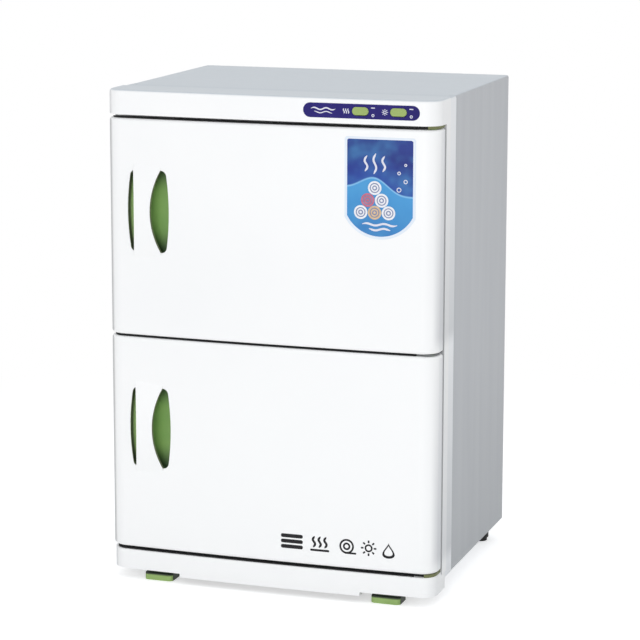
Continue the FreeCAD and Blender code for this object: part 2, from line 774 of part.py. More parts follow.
def build_door(level, z0):
    z1 = z0 + door_height
    z_grip = z0 + grip_above_door
    z_middle = z0 + door_height / 2

    # Outer moulding: bowed front, round corners, hollow from the rear
    shell = moulding(0, y_shell_rear, z0, z1)
    shell = shell.makeFillet(edge_radius, rim_edges(shell, z0, y_shell_rear) + rim_edges(shell, z1, y_shell_rear))
    hollow = moulding(moulding_wall, y_shell_rear + past, z0 + moulding_wall, z1 - moulding_wall)
    flange_left = half_width - hinge_edge_clear - hinge_flange
    hollow = hollow.cut(block(flange_left, half_width, y_shell_rear - hinge_flange, y_shell_rear + past, z0, z1))
    boss_radius = bush_radius + boss_wall
    boss_height = bush_length + moulding_wall
    axis = vec(0, 0, 1)
    bosses = [
        rod(boss_radius, vec(hinge_x, hinge_y, z0), axis, boss_height),
        rod(boss_radius, vec(hinge_x, hinge_y, z1 - boss_height), axis, boss_height),
    ]
    hollow = hollow.cut(bosses)
    opening = barrel(z_grip, 0, y_front - front_room, y_shell_rear, grip_corner)
    bores = [
        rod(bush_radius, vec(hinge_x, hinge_y, z0 - past), axis, bush_length + past),
        rod(bush_radius, vec(hinge_x, hinge_y, z1 - bush_length), axis, bush_length + past),
    ]
    shell = shell.cut([hollow, opening] + bores)

    # Raised strap across the opening: a bowed slab, waisted where the fingers pass
    reach = grip_height / 2 + strap_root
    y_wall = y_front + strap_fall
    thin = strap_thickness
    top = z_grip + reach
    low = z_grip - reach
    slab_edges = [
        arc(vec(0, y_wall, low), vec(0, y_wall - strap_rise, z_grip), vec(0, y_wall, top)),
        Part.makeLine(vec(0, y_wall, top), vec(0, y_wall + thin, top)),
        arc(vec(0, y_wall + thin, top), vec(0, y_wall + thin - strap_rise, z_grip), vec(0, y_wall + thin, low)),
        Part.makeLine(vec(0, y_wall + thin, low), vec(0, y_wall, low)),
    ]
    slab = Part.Face(wire_of(slab_edges)).extrude(vec(grip_right - grip_left, 0, 0))
    slab.translate(vec(grip_left, 0, 0))
    y_cut = y_front - front_room
    tip = grip_height / 2
    waist_edges = [
        arc(vec(strap_end_left, y_cut, z_grip - tip), vec(strap_left, y_cut, z_grip),
            vec(strap_end_left, y_cut, z_grip + tip)),
        Part.makeLine(vec(strap_end_left, y_cut, z_grip + tip), vec(strap_end_left, y_cut, top)),
        Part.makeLine(vec(strap_end_left, y_cut, top), vec(strap_end_right, y_cut, top)),
        Part.makeLine(vec(strap_end_right, y_cut, top), vec(strap_end_right, y_cut, z_grip + tip)),
        arc(vec(strap_end_right, y_cut, z_grip + tip), vec(strap_right, y_cut, z_grip),
            vec(strap_end_right, y_cut, z_grip - tip)),
        Part.makeLine(vec(strap_end_right, y_cut, z_grip - tip), vec(strap_end_right, y_cut, low)),
        Part.makeLine(vec(strap_end_right, y_cut, low), vec(strap_end_left, y_cut, low)),
        Part.makeLine(vec(strap_end_left, y_cut, low), vec(strap_end_left, y_cut, z_grip - tip)),
    ]
    waist = Part.Face(wire_of(waist_edges)).extrude(vec(0, y_shell_rear - y_cut, 0))
    strap = slab.common(waist)
    shell = shell.fuse(strap)
    save(level + "_door_shell", shell)

    # Scooped cup behind the opening: upright walls on a floor that curves up towards both ends
    def trough(grow):
        deep = y_front + moulding_wall + cup_depth - cup_wall + grow
        end = grip_height / 2 + cup_wall
        profile = [
            arc(vec(0, deep - cup_rise, z_grip - end), vec(0, deep, z_grip), vec(0, deep - cup_rise, z_grip + end)),
            Part.makeLine(vec(0, deep - cup_rise, z_grip + end), vec(0, y_front, z_grip + end)),
            Part.makeLine(vec(0, y_front, z_grip + end), vec(0, y_front, z_grip - end)),
            Part.makeLine(vec(0, y_front, z_grip - end), vec(0, deep - cup_rise, z_grip - end)),
        ]
        solid = Part.Face(wire_of(profile)).extrude(vec(2 * (grip_right - grip_left), 0, 0))
        solid.translate(vec(grip_left - (grip_right - grip_left) / 2, 0, 0))
        return solid

    bowl = barrel(z_grip, cup_wall, y_front, y_shell_rear, grip_corner + cup_wall).common(trough(cup_wall))
    scoop = barrel(z_grip, 0, y_front, y_shell_rear, grip_corner).common(trough(0))
    rim = barrel(z_grip, cup_wall + cup_flange, y_front, y_shell_rear, grip_corner + cup_wall + cup_flange)
    behind_wall = moulding(moulding_wall, y_shell_rear, z0, z1)
    rim = rim.common(behind_wall).cut(moulding(moulding_wall + cup_wall, y_shell_rear + past, z0, z1))
    cup = bowl.common(behind_wall).fuse(rim).cut([scoop, strap])
    save(level + "_grip_cup", cup)

    # Inner panel with a dished middle, closing the moulding from behind
    panel_left = -half_width + panel_inset
    panel_right = half_width - hinge_edge_clear
    panel = block(panel_left, panel_right, y_shell_rear, y_panel_rear, z0 + panel_inset, z1 - panel_inset)

    def dish(grow, y_open, y_floor, slope):
        shapes = []
        for y, spread in ((y_open, grow), (y_floor, grow - slope)):
            x = chamber_half - dish_side + spread
            low_z = z0 + dish_border - spread
            high_z = z1 - dish_border + spread
            corners = [vec(-x, y, low_z), vec(x, y, low_z), vec(x, y, high_z), vec(-x, y, high_z)]
            corners.append(corners[0])
            shapes.append(Part.makePolygon(corners))
        return Part.makeLoft(shapes, True, True)

    y_dish = y_panel_rear - dish_depth
    panel = panel.fuse(dish(panel_thickness, y_panel_rear, y_dish - panel_thickness,
                            dish_slope * (dish_depth + panel_thickness) / dish_depth))
    panel = panel.cut(dish(0, y_panel_rear, y_dish, dish_slope))
    save(level + "_door_inner", panel)

    # Foam between the moulding and the dish
    foam = moulding(moulding_wall, y_dish - panel_thickness, z0 + foam_border, z1 - foam_border)
    foam = foam.common(block(foam_left - half_width, half_width - foam_right, y_front, y_shell_rear, z0, z1))
    save(level + "_door_foam", foam)

    # Soft seal round the chamber mouth
    floor = chamber_floor(z0)
    near = chamber_half + seal_offset
    far = near + seal_width
    seal_front = y_face - seal_gap
    seal = rounded_prism(-far, far, y_panel_rear, seal_front, floor - seal_offset - seal_width,
                         floor + chamber_height + seal_offset + seal_width, chamber_corner + seal_offset + seal_width)
    seal = seal.cut(rounded_prism(-near, near, y_panel_rear - past, seal_front + past, floor - seal_offset,
                                  floor + chamber_height + seal_offset, chamber_corner + seal_offset))
    save(level + "_door_seal", seal)

    magnet = block(magnet_x - magnet_width / 2, magnet_x + magnet_width / 2, y_panel_rear,
                   y_face - running_clearance, z_middle - magnet_height / 2, z_middle + magnet_height / 2)
    save(level + "_door_magnet", magnet)

    # Hinge bushes with thin thrust washers
    bushes = []
    for z_face, way in ((z0, 1), (z1, -1)):
        bush = rod(bush_radius, vec(hinge_x, hinge_y, z_face), vec(0, 0, way), bush_length)
        bush = bush.fuse(rod(washer_radius, vec(hinge_x, hinge_y, z_face), vec(0, 0, -way), washer_thickness))
        bore_start = z_face - way * (washer_thickness + past)
        bush = bush.cut(rod(bush_bore, vec(hinge_x, hinge_y, bore_start), vec(0, 0, way),
                            bush_length + washer_thickness + 2 * past))
        bushes.append(bush)
    save(level + "_door_bushes", Part.Compound(bushes))


build_door("lower", z_lower_door)
build_door("upper", z_upper_door)

# Control label: a thin bowed plate with two openings, set into its recess
label = label_cut.common(moulding(-label_proud, y_collar, z_cap, z_top))
label = label.cut(moulding(label_sunk, y_collar, z_cap - past, z_top + past)).cut(apertures)
save("control_label", label)


# Rocker switches on cross stubs, each in a housing behind the cap's front wall
def build_switch(name, x):
    y_skin = y_front + front_fall(x)
    y_pivot = y_skin + switch_pivot_depth
    y_nose = y_skin - switch_proud
    rocker = stadium(x, label_z, switch_length, switch_height, y_nose, y_pivot + switch_body_depth)
    half = switch_height / 2
    wedge = [vec(x - switch_length, y_nose, label_z - half), vec(x - switch_length, y_nose + switch_dip, label_z),
             vec(x - switch_length, y_nose, label_z + half), vec(x - switch_length, y_nose - past, label_z)]
    wedge.append(wedge[0])
    rocker = rocker.cut(Part.Face(Part.makePolygon(wedge)).extrude(vec(2 * switch_length, 0, 0)))
    stub_half = switch_length / 2 + stub_length
    stub = rod(stub_radius, vec(x - stub_half, y_pivot, label_z), vec(1, 0, 0), 2 * stub_half)
    rocker = rocker.fuse(stub)
    rocker.rotate(vec(x, y_pivot, label_z), vec(1, 0, 0), -switch_tilt)
    save(name + "_switch_rocker", rocker)

    pocket_half = aperture_length / 2
    housing = block(x - pocket_half - housing_side, x + pocket_half + housing_side, y_front,
                    y_skin + moulding_wall + housing_depth, label_z - housing_height / 2,
                    label_z + housing_height / 2)
    housing = housing.common(moulding(moulding_wall, y_collar, z_cap, z_top))
    pocket_high = aperture_height / 2 + switch_gap
    housing = housing.cut(block(x - pocket_half, x + pocket_half, y_front, y_pivot + housing_pocket_depth,
                                label_z - pocket_high, label_z + pocket_high))
    stub_hole = rod(stub_radius + pin_clearance, vec(x - stub_half - past, y_pivot, label_z), vec(1, 0, 0),
                    2 * (stub_half + past))
    save(name + "_switch_housing", housing.cut(stub_hole))


for name, x in switch_xs:
    build_switch(name, x)

# Front feet: a broad slab under a narrower neck; rear feet: rubber posts on a smaller tread
foot_front = y_front + plinth_inset + front_foot_setback
neck_setback = (front_foot_depth - front_neck_depth) / 2
for name, side in (("left", -1), ("right", 1)):
    x = side * (half_width - front_foot_side)
    foot = rounded_plate(x - front_foot_width / 2, x + front_foot_width / 2, foot_front,
                         foot_front + front_foot_depth, 0, front_foot_slab, front_foot_round)
    neck = block(x - front_neck_width / 2, x + front_neck_width / 2, foot_front + neck_setback,
                 foot_front + neck_setback + front_neck_depth, front_foot_slab, z_end)
    save(name + "_front_foot", foot.fuse(neck))
    x = side * (half_width - rear_foot_side)
    y = y_back - rear_foot_setback
    post = rod(rear_foot_radius, vec(x, y, rear_foot_tread), vec(0, 0, 1), case_bottom - rear_foot_tread)
    post = post.fuse(rod(rear_foot_radius - rear_foot_step, vec(x, y, 0), vec(0, 0, 1), rear_foot_tread))
    save(name + "_rear_foot", post)
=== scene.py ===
import bpy
import bmesh
import math
from mathutils import Matrix, Vector


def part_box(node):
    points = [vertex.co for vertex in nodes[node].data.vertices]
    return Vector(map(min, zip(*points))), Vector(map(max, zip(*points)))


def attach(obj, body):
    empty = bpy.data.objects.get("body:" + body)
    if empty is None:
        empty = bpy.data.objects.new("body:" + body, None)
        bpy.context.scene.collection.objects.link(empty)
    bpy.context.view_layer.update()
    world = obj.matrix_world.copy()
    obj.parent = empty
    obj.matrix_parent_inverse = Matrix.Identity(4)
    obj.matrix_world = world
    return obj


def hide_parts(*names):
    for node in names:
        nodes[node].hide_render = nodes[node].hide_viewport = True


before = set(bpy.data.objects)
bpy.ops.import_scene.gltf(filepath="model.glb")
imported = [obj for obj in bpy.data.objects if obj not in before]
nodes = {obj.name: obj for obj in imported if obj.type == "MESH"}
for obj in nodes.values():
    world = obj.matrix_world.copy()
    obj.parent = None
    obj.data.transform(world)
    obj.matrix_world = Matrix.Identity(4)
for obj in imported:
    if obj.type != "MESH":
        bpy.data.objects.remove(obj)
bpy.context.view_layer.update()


# Studio: a white floor that runs out into a white surround and still takes the cabinet's shadow, a broad
# soft lamp ahead, and a surround that is brighter overhead and dimmer at the left. The camera stands in
# front of the cabinet's right corner, a little above its middle.
bpy.ops.object.select_all(action="DESELECT")
bpy.ops.mesh.primitive_plane_add(size=24, location=(0, 0, 0))
floor = bpy.context.object
floor.name = "studio_floor"


def new_finish(name, colour, roughness, metallic=0.0, sheen=0.5):
    finish = bpy.data.materials.new(name)
    finish.use_nodes = True
    shader = finish.node_tree.nodes["Principled BSDF"]
    shader.inputs["Base Color"].default_value = (*colour, 1)
    shader.inputs["Roughness"].default_value = roughness
    shader.inputs["Metallic"].default_value = metallic
    shader.inputs["Specular IOR Level"].default_value = sheen
    return finish, shader


def worked(tree, operation, *values):
    # One sum of plain numbers and values that change over the surface
    sum_of = tree.nodes.new("ShaderNodeMath")
    sum_of.operation = operation
    for socket, value in zip(sum_of.inputs, values):
        if isinstance(value, (int, float)):
            socket.default_value = value
        else:
            tree.links.new(value, socket)
    return sum_of.outputs[0]


def rising(tree, value, start, end, low=0.0, high=1.0, curve="SMOOTHSTEP"):
    # Low up to the start and high from the end on
    step = tree.nodes.new("ShaderNodeMapRange")
    step.interpolation_type = curve
    for name, limit in (("From Min", start), ("From Max", end), ("To Min", low), ("To Max", high)):
        step.inputs[name].default_value = limit
    tree.links.new(value, step.inputs["Value"])
    return step.outputs["Result"]


def part_of(tree, output, axis):
    # One number of the surface's place or of the way it faces
    place = tree.nodes.new("ShaderNodeTexCoord")
    split = tree.nodes.new("ShaderNodeSeparateXYZ")
    tree.links.new(place.outputs[output], split.inputs[0])
    return split.outputs[axis]


def seen_straight_on(tree):
    # 1 for what the camera sees directly, in a reflection or through glass
    path = tree.nodes.new("ShaderNodeLightPath").outputs
    direct_or_mirrored = worked(tree, "MAXIMUM", path["Is Camera Ray"], path["Is Glossy Ray"])
    return worked(tree, "MAXIMUM", direct_or_mirrored, path["Is Transmission Ray"])


def either_shader(tree, choice, first, second):
    blend = tree.nodes.new("ShaderNodeMixShader")
    for socket, source in zip(blend.inputs, (choice, first, second)):
        tree.links.new(source, socket)
    return blend.outputs[0]


shadow_reach = 0.36
white_from = 1.25
floor_paint, floor_shader = new_finish("studio_floor", (0.80, 0.80, 0.80), 0.9, sheen=0.1)
floor_tree = floor_paint.node_tree
lift = worked(floor_tree, "MULTIPLY", seen_straight_on(floor_tree), 0.50)
floor_shader.inputs["Emission Color"].default_value = (1, 1, 1, 1)
floor_tree.links.new(lift, floor_shader.inputs["Emission Strength"])
far_white = floor_tree.nodes.new("ShaderNodeEmission")
far_white.inputs["Color"].default_value = (1, 1, 1, 1)
spot = floor_tree.nodes.new("ShaderNodeTexCoord")
reach = floor_tree.nodes.new("ShaderNodeVectorMath")
reach.operation = "LENGTH"
floor_tree.links.new(spot.outputs["Object"], reach.inputs[0])
fade = rising(floor_tree, reach.outputs["Value"], shadow_reach, white_from)
ground = either_shader(floor_tree, fade, floor_shader.outputs[0], far_white.outputs[0])
floor_tree.links.new(ground, floor_tree.nodes["Material Output"].inputs["Surface"])
floor.data.materials.append(floor_paint)

world = bpy.data.worlds.new("studio_surround")
bpy.context.scene.world = world
world.use_nodes = True
surround = world.node_tree
surround.nodes.clear()
seen = surround.nodes.new("ShaderNodeBackground")
seen.inputs["Color"].default_value = (1, 1, 1, 1)
unseen = surround.nodes.new("ShaderNodeBackground")
unseen.inputs["Color"].default_value = (0.96, 0.98, 1.0, 1)
from_side = rising(surround, part_of(surround, "Generated", "X"), -1.0, 0.1, low=0.10, high=0.33)
from_above = rising(surround, part_of(surround, "Generated", "Z"), 0.0, 1.0, high=0.82, curve="LINEAR")
surround.links.new(worked(surround, "ADD", from_side, from_above), unseen.inputs["Strength"])
sky = surround.nodes.new("ShaderNodeOutputWorld")
chosen = either_shader(surround, seen_straight_on(surround), unseen.outputs[0], seen.outputs[0])
surround.links.new(chosen, sky.inputs["Surface"])

lamp = bpy.data.lights.new("front_lamp", "AREA")
lamp.shape = "SQUARE"
lamp.size = 1.8
lamp.energy = 38
lamp_place = Vector((0.15, -3.6, 0.85))
lamp_aim = Vector((0, 0, 0.3))
holder = bpy.data.objects.new("front_lamp", lamp)
bpy.context.scene.collection.objects.link(holder)
holder.location = lamp_place
holder.rotation_euler = (lamp_aim - lamp_place).to_track_quat("-Z", "Y").to_euler()

sight = bpy.data.cameras.new("camera")
sight.sensor_width = 36
sight.lens = 141.4
sight.shift_x = 0.042
sight.shift_y = -0.075
camera = bpy.data.objects.new("camera", sight)
bpy.context.scene.collection.objects.link(camera)
camera.location = (1.0665, -3.1641, 0.9931)
camera.rotation_euler = (math.radians(79.89), 0, math.radians(19.07))
bpy.context.scene.camera = camera
bpy.context.scene.view_settings.view_transform = "Standard"


# White mouldings: the two door shells, injection-moulded in glossy white plastic with a faint flow mottle
# and a fine moulded grain. Painted light makes them a touch whiter towards the foot, and painted shade greys
# their flanks. The cut edges round the grip carry painted shade, tinted with the green of the cup behind
# them.
def mixed(tree, factor, first, second, blend="MIX"):
    # The first colour where the factor is 0 and the second over it, or multiplied with it, where it is 1
    mix = tree.nodes.new("ShaderNodeMix")
    mix.data_type = "RGBA"
    mix.blend_type = blend
    tree.links.new(factor, mix.inputs["Factor"])
    for name, colour in (("A", first), ("B", second)):
        if isinstance(colour, tuple):
            mix.inputs[name].default_value = (*colour, 1)
        else:
            tree.links.new(colour, mix.inputs[name])
    return mix.outputs["Result"]


def mottle_group():
    # Two colours in soft patches, a fine bump and a slightly changing gloss
    group = bpy.data.node_groups.new("mottled_surface", "ShaderNodeTree")
    for name, kind, value in (
        ("Colour", "NodeSocketColor", (0.8, 0.8, 0.8, 1)),
        ("Second colour", "NodeSocketColor", (0.7, 0.7, 0.7, 1)),
        ("Stretch", "NodeSocketVector", (1, 1, 1)),
        ("Patch scale", "NodeSocketFloat", 8.0),
        ("Grain scale", "NodeSocketFloat", 900.0),
        ("Grain depth", "NodeSocketFloat", 0.00005),
        ("Gloss", "NodeSocketFloat", 0.4),
        ("Gloss change", "NodeSocketFloat", 0.08),
    ):
        socket = group.interface.new_socket(name=name, in_out="INPUT", socket_type=kind)
        socket.default_value = value
    for name, kind in (("Colour", "Color"), ("Roughness", "Float"), ("Normal", "Vector")):
        group.interface.new_socket(name=name, in_out="OUTPUT", socket_type="NodeSocket" + kind)
    join = group.links.new
    given = group.nodes.new("NodeGroupInput").outputs
    result = group.nodes.new("NodeGroupOutput").inputs
    place = group.nodes.new("ShaderNodeTexCoord")
    stretched = group.nodes.new("ShaderNodeVectorMath")
    stretched.operation = "MULTIPLY"
    join(place.outputs["Object"], stretched.inputs[0])
    join(given["Stretch"], stretched.inputs[1])
    noise = {}
    for scale, detail in (("Patch scale", 4), ("Grain scale", 2)):
        texture = group.nodes.new("ShaderNodeTexNoise")
        texture.inputs["Detail"].default_value = detail
        join(stretched.outputs[0], texture.inputs["Vector"])
        join(given[scale], texture.inputs["Scale"])
        noise[scale] = texture.outputs["Fac"]
    patches = noise["Patch scale"]
    spread = rising(group, patches, 0.35, 0.65, curve="LINEAR")
    join(mixed(group, spread, given["Colour"], given["Second colour"]), result["Colour"])
    join(worked(group, "MULTIPLY_ADD", patches, given["Gloss change"], given["Gloss"]), result["Roughness"])
    bump = group.nodes.new("ShaderNodeBump")
    join(given["Grain depth"], bump.inputs["Distance"])
    join(noise["Grain scale"], bump.inputs["Height"])
    join(bump.outputs["Normal"], result["Normal"])
    return group


mottle = mottle_group()


def mottled(name, colour, second, gloss, patch, grain=900, depth=0.00005, change=0.08, stretch=(1, 1, 1),
            metallic=0.0, sheen=0.5):
    finish, shader = new_finish(name, colour, gloss, metallic, sheen)
    tree = finish.node_tree
    surface = tree.nodes.new("ShaderNodeGroup")
    surface.node_tree = mottle
    for socket, value in (
        ("Colour", (*colour, 1)),
        ("Second colour", (*second, 1)),
        ("Stretch", stretch),
        ("Patch scale", patch),
        ("Grain scale", grain),
        ("Grain depth", depth),
        ("Gloss", gloss),
        ("Gloss change", change),
    ):
        surface.inputs[socket].default_value = value
    for output, socket in (("Colour", "Base Color"), ("Roughness", "Roughness"), ("Normal", "Normal")):
        tree.links.new(surface.outputs[output], shader.inputs[socket])
    return finish


def paint(finish, *names):
    for name in names:
        slots = nodes[name].data.materials
        slots.clear()
        slots.append(finish)


def rising_along(tree, output, axis, start, end):
    return rising(tree, part_of(tree, output, axis), start, end)


def meeting(tree, *masks):
    # 1 only where every mask is 1
    met = masks[0]
    for mask in masks[1:]:
        met = worked(tree, "MULTIPLY", met, mask)
    return met


def overlay(finish, mask, colour, blend="MIX"):
    # A second colour over a finish where the mask is 1, or a stain when the two are multiplied
    tree = finish.node_tree
    base = tree.nodes["Principled BSDF"].inputs["Base Color"]
    tree.links.new(mixed(tree, mask, base.links[0].from_socket, colour, blend), base)


def door_fade_group():
    # 0 at the head of each door, rising to 1 just above its foot
    door_head = 0.6195
    door_pitch = 0.288
    group = bpy.data.node_groups.new("door_fade", "ShaderNodeTree")
    group.interface.new_socket(name="Fade", in_out="OUTPUT", socket_type="NodeSocketFloat")
    below_cap = worked(group, "SUBTRACT", door_head, part_of(group, "Object", "Z"))
    doors_down = worked(group, "MAXIMUM", worked(group, "DIVIDE", below_cap, door_pitch), 0)
    drop = worked(group, "FRACT", doors_down)
    result = group.nodes.new("NodeGroupOutput")
    group.links.new(meeting(group, drop, rising(group, drop, 1.0, 0.91)), result.inputs["Fade"])
    return group


door_fade = door_fade_group()


def down_each_door(tree):
    placed = tree.nodes.new("ShaderNodeGroup")
    placed.node_tree = door_fade
    return placed.outputs["Fade"]


def white_plastic(name, right_flank_shade, left_flank_shade):
    # Glossy, with painted light whitening the foot and painted shade greying the flanks, more so down each
    # door
    painted_light_below = (0.45, 0.08)
    finish = mottled(name, (0.925, 0.928, 0.93), (0.905, 0.91, 0.916), 0.34, patch=5, grain=700,
                     depth=0.00003, sheen=0.3)
    tree = finish.node_tree
    overlay(finish, rising_along(tree, "Object", "Z", *painted_light_below), (0.972, 0.975, 0.975))
    sideways = part_of(tree, "Normal", "X")
    overlay(finish, rising(tree, sideways, 0.93, 1.0), right_flank_shade, "MULTIPLY")
    overlay(finish, rising(tree, sideways, -0.55, -0.80), left_flank_shade, "MULTIPLY")
    low_right_shade = meeting(tree, rising(tree, sideways, 0.62, 1.0), down_each_door(tree))
    overlay(finish, low_right_shade, (0.75, 0.755, 0.77), "MULTIPLY")
    return finish


door_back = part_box("upper_door_shell")[1].y
grip_left = (-0.200, -0.198)
grip_right = (-0.130, -0.134)
white_moulding = white_plastic("white_moulding", (0.90, 0.905, 0.92), (0.50, 0.503, 0.51))
door_tree = white_moulding.node_tree
# Painted shade on the right flank just ahead of the doors' rear edge, where they meet the collar
rear_edge_shade = meeting(door_tree, rising_along(door_tree, "Object", "Y", door_back - 0.005, door_back - 0.0002),
                    rising_along(door_tree, "Normal", "X", 0.9, 1.0))
overlay(white_moulding, rear_edge_shade, (0.72, 0.725, 0.74), "MULTIPLY")
# Painted shade on the cut edges round the grip, tinted green by the cup behind
grip_edge_shade = meeting(door_tree, rising_along(door_tree, "Normal", "X", 0.5, 0.8),
                     rising_along(door_tree, "Object", "X", *grip_left),
                     rising_along(door_tree, "Object", "X", *grip_right))
overlay(white_moulding, grip_edge_shade, (0.21, 0.235, 0.14))
paint(white_moulding, "upper_door_shell", "lower_door_shell")


# Front frame: one moulding of the same white plastic round both doors, with painted shade on its flanks, its
# top face painted in the grey tone of the case top as painted shade, and a narrow band of painted shade along
# the outer margins of the face that the doors close against, where the gap to the doors lies in shadow.
# One grey tone for upward faces: painted light on the case top and painted shade on the white tops
painted_top_tone = (0.593, 0.636, 0.676)
facing_up = (0.45, 0.9)
cap_top = (0.645, 0.652)
closing_face = (-0.1440, -0.1415)
outer_margin = (0.2208, 0.2214)
frame_moulding = white_plastic("frame_moulding", (0.99, 0.99, 0.99), (0.78, 0.783, 0.79))
frame_tree = frame_moulding.node_tree
frame_top = meeting(frame_tree, rising_along(frame_tree, "Normal", "Z", *facing_up),
                    rising_along(frame_tree, "Object", "Z", *cap_top))
overlay(frame_moulding, frame_top, painted_top_tone)
from_centre = worked(frame_tree, "ABSOLUTE", part_of(frame_tree, "Object", "X"))
# Painted shade: a narrow dark band along the closing face's outer margins, where the gap lies in shadow
gap_line_shade = meeting(frame_tree, rising_along(frame_tree, "Normal", "Y", -0.7, -0.9),
               rising_along(frame_tree, "Object", "Y", *closing_face),
               rising(frame_tree, from_centre, *outer_margin))
overlay(frame_moulding, gap_line_shade, (0.55, 0.555, 0.565))
paint(frame_moulding, "front_frame")


# Sheet case: folded steel in light grey paint with faint upright roller streaks and orange peel, with painted
# shade that darkens it towards its foot and its rear, and painted light that makes its top lighter than its
# sides. The collar ahead of it is pale moulded plastic with a dull surface, with painted shade that greys it
# down each door and a top in the same painted grey tone as the case top, as painted shade.
# Paints upward faces in the grey tone that the tops take under the overhead light
def paint_top_tone(finish):
    overlay(finish, rising_along(finish.node_tree, "Normal", "Z", *facing_up), painted_top_tone)


case_paint = mottled("case_paint", (0.495, 0.512, 0.538), (0.475, 0.492, 0.520), 0.42, patch=55, grain=420,
                     depth=0.00006, stretch=(1, 1, 0.05))
# Painted shade: the case darkens towards its foot and towards its rear
case_foot_shade = rising_along(case_paint.node_tree, "Object", "Z", 0.34, 0.0)
case_rear_shade = rising_along(case_paint.node_tree, "Object", "Y", -0.09, 0.18)
overlay(case_paint, case_foot_shade, (0.88, 0.885, 0.88), "MULTIPLY")
overlay(case_paint, case_rear_shade, (0.96, 0.96, 0.96), "MULTIPLY")
paint_top_tone(case_paint)
paint(case_paint, "case_wrap")
collar_plastic = mottled("collar_plastic", (0.90, 0.915, 0.935), (0.87, 0.885, 0.905), 0.5, patch=12)
# Painted shade that greys the collar down each door
overlay(collar_plastic, down_each_door(collar_plastic.node_tree), (0.72, 0.725, 0.73), "MULTIPLY")
paint_top_tone(collar_plastic)
paint(collar_plastic, "body_collar")


# Bare metal: the zinc-coated back panel, base pan and ballast case with their crystal spangle, and the
# striker plates that the door magnets meet.
def spangled(name, light, dark):
    finish, shader = new_finish(name, light, 0.42, metallic=1.0)
    tree = finish.node_tree
    place = tree.nodes.new("ShaderNodeTexCoord")
    crystals = tree.nodes.new("ShaderNodeTexVoronoi")
    crystals.inputs["Scale"].default_value = 130
    tree.links.new(place.outputs["Object"], crystals.inputs["Vector"])
    shade = crystals.outputs["Color"]
    tree.links.new(mixed(tree, shade, light, dark), shader.inputs["Base Color"])
    gloss = rising(tree, shade, 0.0, 1.0, low=0.34, high=0.52, curve="LINEAR")
    tree.links.new(gloss, shader.inputs["Roughness"])
    return finish


zinc_sheet = spangled("zinc_sheet", (0.72, 0.74, 0.76), (0.52, 0.54, 0.57))
paint(zinc_sheet, "back_panel", "base_pan", "lamp_ballast", "upper_striker_plate", "lower_striker_plate")


# Chambers: pressed aluminium liners and lamp guards with a brushed finish, and drip trays of the same
# sheet. Behind them are the felt jackets and the silicone heating pads, which stay out of sight.
brushed_sheet = mottled("brushed_sheet", (0.82, 0.83, 0.84), (0.70, 0.71, 0.73), 0.28, patch=420,
                        depth=0.00002, change=0.2, stretch=(0.03, 0.03, 1), metallic=1.0)
paint(brushed_sheet, "upper_liner", "lower_liner", "upper_lamp_guard", "lower_lamp_guard",
      "upper_drip_tray", "lower_drip_tray")
jacket_felt = mottled("jacket_felt", (0.74, 0.68, 0.50), (0.60, 0.54, 0.38), 0.95, patch=60, grain=260,
                      depth=0.0006)
paint(jacket_felt, "upper_insulation", "lower_insulation", "upper_door_foam", "lower_door_foam")
pad_silicone = mottled("pad_silicone", (0.62, 0.20, 0.07), (0.52, 0.15, 0.05), 0.6, patch=40, grain=500,
                       depth=0.0001)
paint(pad_silicone, "upper_heater_pad", "lower_heater_pad")


# Black fittings: thermostats, lamp holders, switch housings, door magnets and the mains inlet in dull
# black plastic. The terminal block is ivory.
black_plastic = mottled("black_plastic", (0.022, 0.022, 0.024), (0.035, 0.035, 0.037), 0.45, patch=60,
                        depth=0.00006)
paint(black_plastic, "upper_thermostat", "lower_thermostat", "upper_lamp_holders", "lower_lamp_holders",
      "left_switch_housing", "right_switch_housing", "upper_door_magnet", "lower_door_magnet",
      "mains_inlet")
ivory_plastic = mottled("ivory_plastic", (0.80, 0.77, 0.68), (0.76, 0.72, 0.62), 0.4, patch=40)
paint(ivory_plastic, "terminal_block")


# Lamps: a clear quartz tube across the rear of each chamber, held in a black holder at either end. A cap of
# thin bright metal is pressed on the glass just inside each holder.
lamp_glass, glass_shader = new_finish("lamp_glass", (0.93, 0.96, 1.0), 0.04)
glass_shader.inputs["Transmission Weight"].default_value = 1.0
glass_shader.inputs["IOR"].default_value = 1.46
paint(lamp_glass, "upper_uv_lamp", "lower_uv_lamp")


def start_piece():
    bpy.ops.object.select_all(action="DESELECT")


def apply_placing():
    bpy.ops.object.transform_apply(location=True, rotation=True, scale=True)


def pick_only(piece):
    bpy.ops.object.select_all(action="DESELECT")
    piece.select_set(True)
    bpy.context.view_layer.objects.active = piece


def shaped(piece, kind, **settings):
    # Gives the picked piece one modifier and applies it
    modifier = piece.modifiers.new(kind.lower(), kind)
    for name, value in settings.items():
        setattr(modifier, name, value)
    bpy.ops.object.modifier_apply(modifier=modifier.name)


def join_pieces(parts):
    start_piece()
    for part in parts:
        part.select_set(True)
    bpy.context.view_layer.objects.active = parts[0]
    if len(parts) > 1:
        bpy.ops.object.join()
    return parts[0]


def finish_piece(piece, name, body, finish, smooth=30):
    # Puts the piece's place into its mesh and lets it move with its body
    pick_only(piece)
    apply_placing()
    bpy.ops.object.mode_set(mode="EDIT")
    bpy.ops.mesh.select_all(action="SELECT")
    bpy.ops.mesh.remove_doubles(threshold=0.000002)
    bpy.ops.mesh.normals_make_consistent(inside=False)
    bpy.ops.object.mode_set(mode="OBJECT")
    bpy.ops.object.shade_smooth_by_angle(angle=math.radians(smooth))
    piece.name = name
    piece.data.materials.clear()
    piece.data.materials.append(finish)
    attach(piece, body)
    return piece


